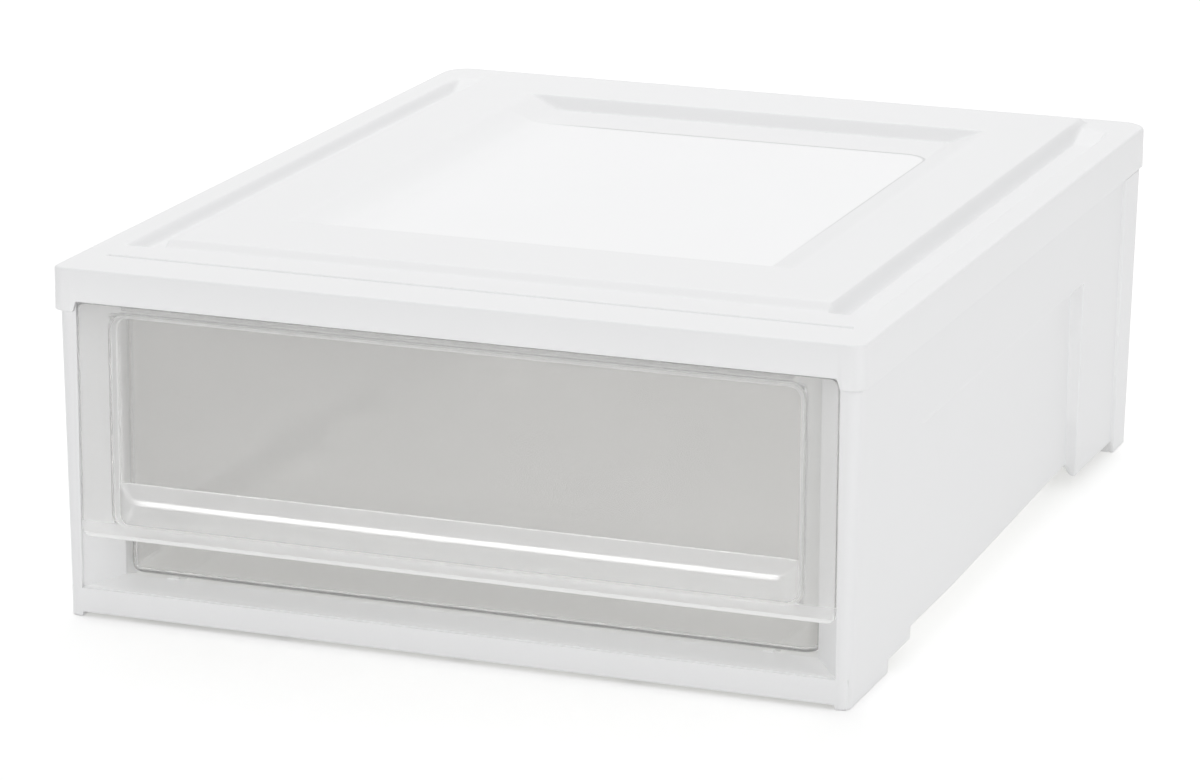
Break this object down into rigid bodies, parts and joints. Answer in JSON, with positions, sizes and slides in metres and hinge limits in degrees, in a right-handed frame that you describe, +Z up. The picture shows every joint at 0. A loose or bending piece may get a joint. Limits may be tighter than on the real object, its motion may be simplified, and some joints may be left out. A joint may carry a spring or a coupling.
{
  "type": "stackable drawer box",
  "caption": "Shallow stackable storage box: a case with leaning walls, a clip-on top panel with a sunken tray, and one clear drawer with a moulded grip that slides out to a stop.",
  "frame": {"origin": "middle of the footprint, on the ground", "axes": "+X to the right seen from the front, +Y to the back, +Z up; the drawer opens towards -Y"},
  "size_m": [0.4, 0.498, 0.1741],
  "materials": {
    "shell": "white moulded polypropylene, fine satin grain",
    "clear": "clear, slightly milky moulded plastic"
  },
  "bodies": {
    "case": {"case_body": "shell", "top_panel": "shell"},
    "drawer": {"drawer": "clear"}
  },
  "joints": [
    {"name": "drawer_slide", "type": "slide", "parent": "case", "child": "drawer", "axis": [0, -1, 0], "range_m": [0, 0.36]}
  ]
}
